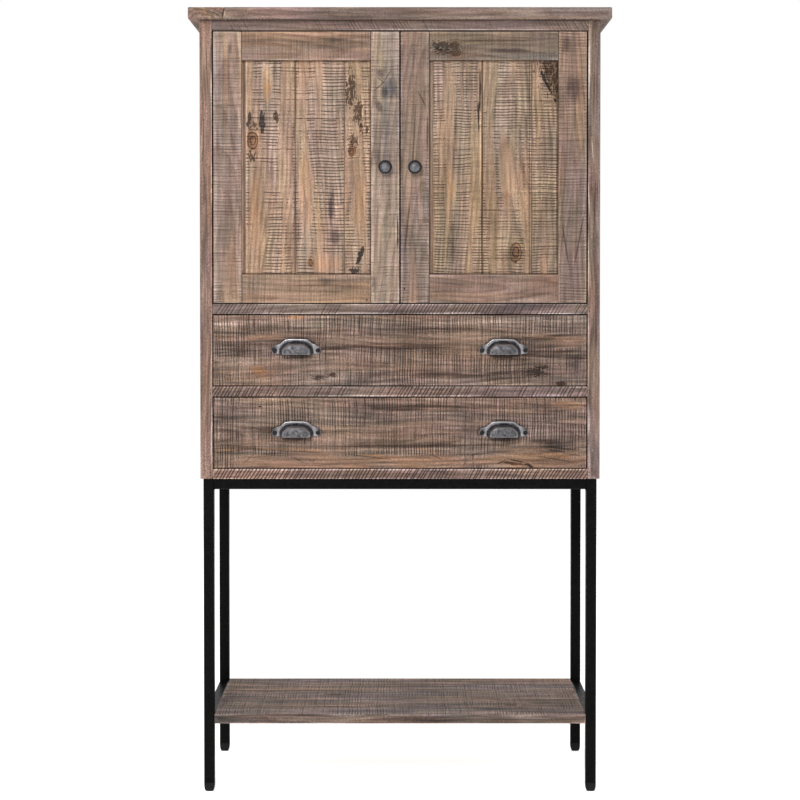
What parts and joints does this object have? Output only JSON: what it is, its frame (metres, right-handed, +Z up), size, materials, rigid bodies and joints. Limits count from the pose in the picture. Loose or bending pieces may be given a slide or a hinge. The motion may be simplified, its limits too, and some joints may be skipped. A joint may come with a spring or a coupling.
{
  "type": "tall buffet cabinet",
  "caption": "Tall rustic buffet cabinet of reclaimed pine on a black steel stand, with framed panel doors over full-width drawers, cup pulls, round knobs and an open lower shelf.",
  "frame": {"origin": "on the floor, under the middle of the object's bounding box", "axes": "+X to the right seen from the front, +Y to the back, +Z up; the doors and drawers face -Y"},
  "size_m": [0.8, 0.4028, 1.4928],
  "materials": {
    "frame_pine": "rough-sawn reclaimed pine, brown-grey wax",
    "panel_pine": "rough-sawn reclaimed pine, paler and warmer",
    "drawer_pine": "rough-sawn reclaimed pine, darker",
    "shelf_pine": "reclaimed pine boards, grey-brown",
    "inner_pine": "planed raw pine",
    "plywood": "thin pine plywood",
    "black_steel": "black satin powder coat",
    "pewter": "cast, dark pewter with bright worn rims",
    "pin_steel": "blackened turned steel",
    "plastic": "black moulded plastic"
  },
  "bodies": {
    "cabinet": {"top_slab": "frame_pine", "top_end_board": "frame_pine", "side_panel_left": "frame_pine", "side_panel_right": "frame_pine", "top_rail": "frame_pine", "door_floor": "frame_pine", "drawer_divider": "frame_pine", "bottom_panel": "frame_pine", "back_panel": "plywood", "inner_shelf": "inner_pine", "pivot_pin_left_top": "pin_steel", "pivot_pin_left_bottom": "pin_steel", "pivot_pin_right_top": "pin_steel", "pivot_pin_right_bottom": "pin_steel", "door_catch": "plastic", "upper_runner_left": "inner_pine", "upper_runner_right": "inner_pine", "lower_runner_left": "inner_pine", "lower_runner_right": "inner_pine", "leg_front_left": "black_steel", "leg_front_right": "black_steel", "leg_rear_left": "black_steel", "leg_rear_right": "black_steel", "front_rail": "black_steel", "rear_rail": "black_steel", "side_rail_left": "black_steel", "side_rail_right": "black_steel", "lower_rail_left": "black_steel", "lower_rail_right": "black_steel", "lower_shelf": "shelf_pine", "foot_front_left": "plastic", "foot_front_right": "plastic", "foot_rear_left": "plastic", "foot_rear_right": "plastic"},
    "left_door": {"meeting_stile_left": "frame_pine", "hinge_stile_left": "frame_pine", "door_top_rail_left": "frame_pine", "door_bottom_rail_left": "frame_pine", "door_panel_left": "panel_pine", "knob_left": "pewter"},
    "right_door": {"meeting_stile_right": "frame_pine", "hinge_stile_right": "frame_pine", "door_top_rail_right": "frame_pine", "door_bottom_rail_right": "frame_pine", "door_panel_right": "panel_pine", "knob_right": "pewter"},
    "upper_drawer": {"upper_drawer_front": "drawer_pine", "upper_drawer_side_left": "inner_pine", "upper_drawer_side_right": "inner_pine", "upper_drawer_back": "inner_pine", "upper_drawer_bottom": "plywood", "upper_pull_left": "pewter", "upper_pull_right": "pewter"},
    "lower_drawer": {"lower_drawer_front": "drawer_pine", "lower_drawer_side_left": "inner_pine", "lower_drawer_side_right": "inner_pine", "lower_drawer_back": "inner_pine", "lower_drawer_bottom": "plywood", "lower_pull_left": "pewter", "lower_pull_right": "pewter"}
  },
  "joints": [
    {"name": "left_door_hinge", "type": "hinge", "parent": "cabinet", "child": "left_door", "pos_m": [-0.3408, -0.1716, 1.1923], "axis": [0, 0, -1], "range_deg": [0, 110]},
    {"name": "right_door_hinge", "type": "hinge", "parent": "cabinet", "child": "right_door", "pos_m": [0.3408, -0.1716, 1.1923], "axis": [0, 0, 1], "range_deg": [0, 110]},
    {"name": "upper_drawer_slide", "type": "slide", "parent": "cabinet", "child": "upper_drawer", "axis": [0, -1, 0], "range_m": [0, 0.26]},
    {"name": "lower_drawer_slide", "type": "slide", "parent": "cabinet", "child": "lower_drawer", "axis": [0, -1, 0], "range_m": [0, 0.26]}
  ]
}
